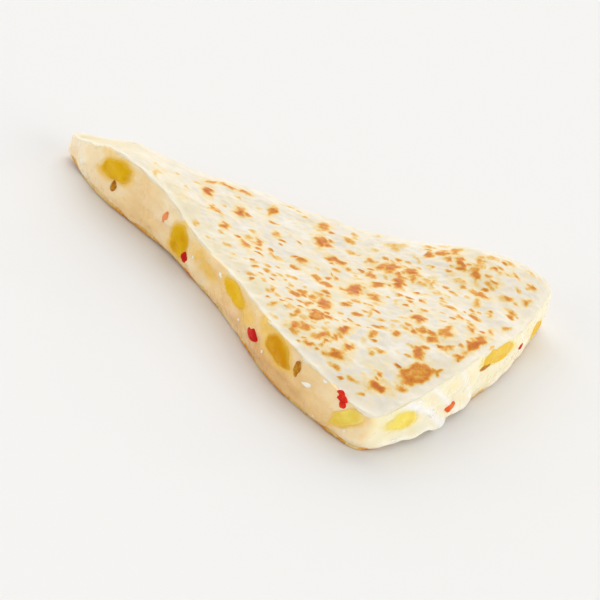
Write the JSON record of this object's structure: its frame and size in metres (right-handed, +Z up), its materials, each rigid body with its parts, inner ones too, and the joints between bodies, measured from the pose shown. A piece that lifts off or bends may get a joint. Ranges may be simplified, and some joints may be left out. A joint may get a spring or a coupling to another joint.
{
  "type": "quesadilla",
  "caption": "Wedge cut from a griddled flour tortilla quesadilla, with melted cheese and green chile showing at its cut sides, lying flat; prop food for a plate or table.",
  "frame": {"origin": "middle of the footprint, on the surface the wedge rests on", "axes": "+X from the tip towards the round outer edge, +Y towards the back cut, +Z up through the tortillas"},
  "size_m": [0.1238, 0.0866, 0.015],
  "materials": {
    "tortilla": "matt cream griddled flour tortilla with brown spots",
    "cheese": "soft glossy melted cheese, slightly translucent",
    "green_chile": "wet, glossy cooked green chile"
  },
  "bodies": {
    "root": {"tortilla_bottom": "tortilla", "tortilla_top": "tortilla", "cheese_filling": "cheese", "green_chile_1": "green_chile", "green_chile_2": "green_chile", "green_chile_3": "green_chile", "green_chile_4": "green_chile", "green_chile_5": "green_chile", "green_chile_6": "green_chile", "green_chile_7": "green_chile", "green_chile_8": "green_chile", "green_chile_9": "green_chile", "green_chile_10": "green_chile", "green_chile_11": "green_chile"}
  },
  "joints": []
}
